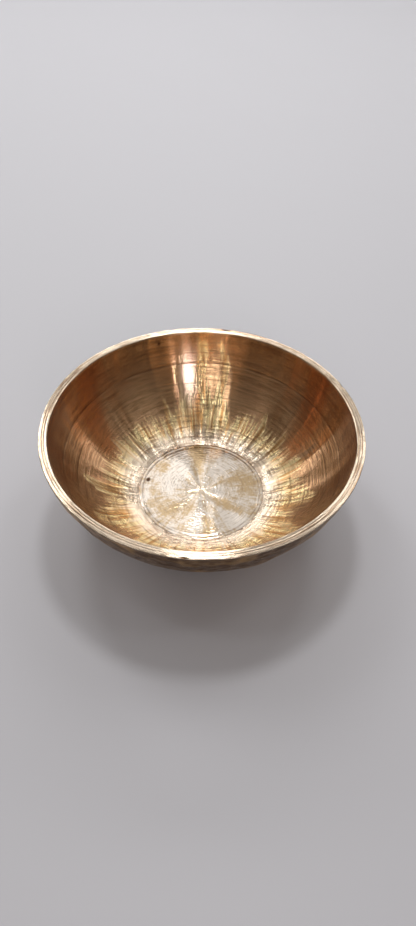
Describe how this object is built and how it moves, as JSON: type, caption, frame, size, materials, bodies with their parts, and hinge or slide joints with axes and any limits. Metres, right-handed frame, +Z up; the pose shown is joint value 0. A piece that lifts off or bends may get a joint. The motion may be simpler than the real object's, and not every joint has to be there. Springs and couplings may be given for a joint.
{
  "type": "singing bowl",
  "caption": "Thick-walled round metal bowl with a flat rim, a small flat foot and curved walls, struck or rubbed to ring.",
  "frame": {"origin": "centre of the flat foot that the bowl stands on", "axes": "+Z up along the bowl's axis, from foot to mouth; +X and +Y are alike, because the bowl is round"},
  "size_m": [0.228, 0.228, 0.075],
  "materials": {
    "bell_metal": "hammered and browned outside, turned bright inside with fine rings, turned flat on the rim"
  },
  "bodies": {
    "root": {"bowl": "bell_metal"}
  },
  "joints": []
}
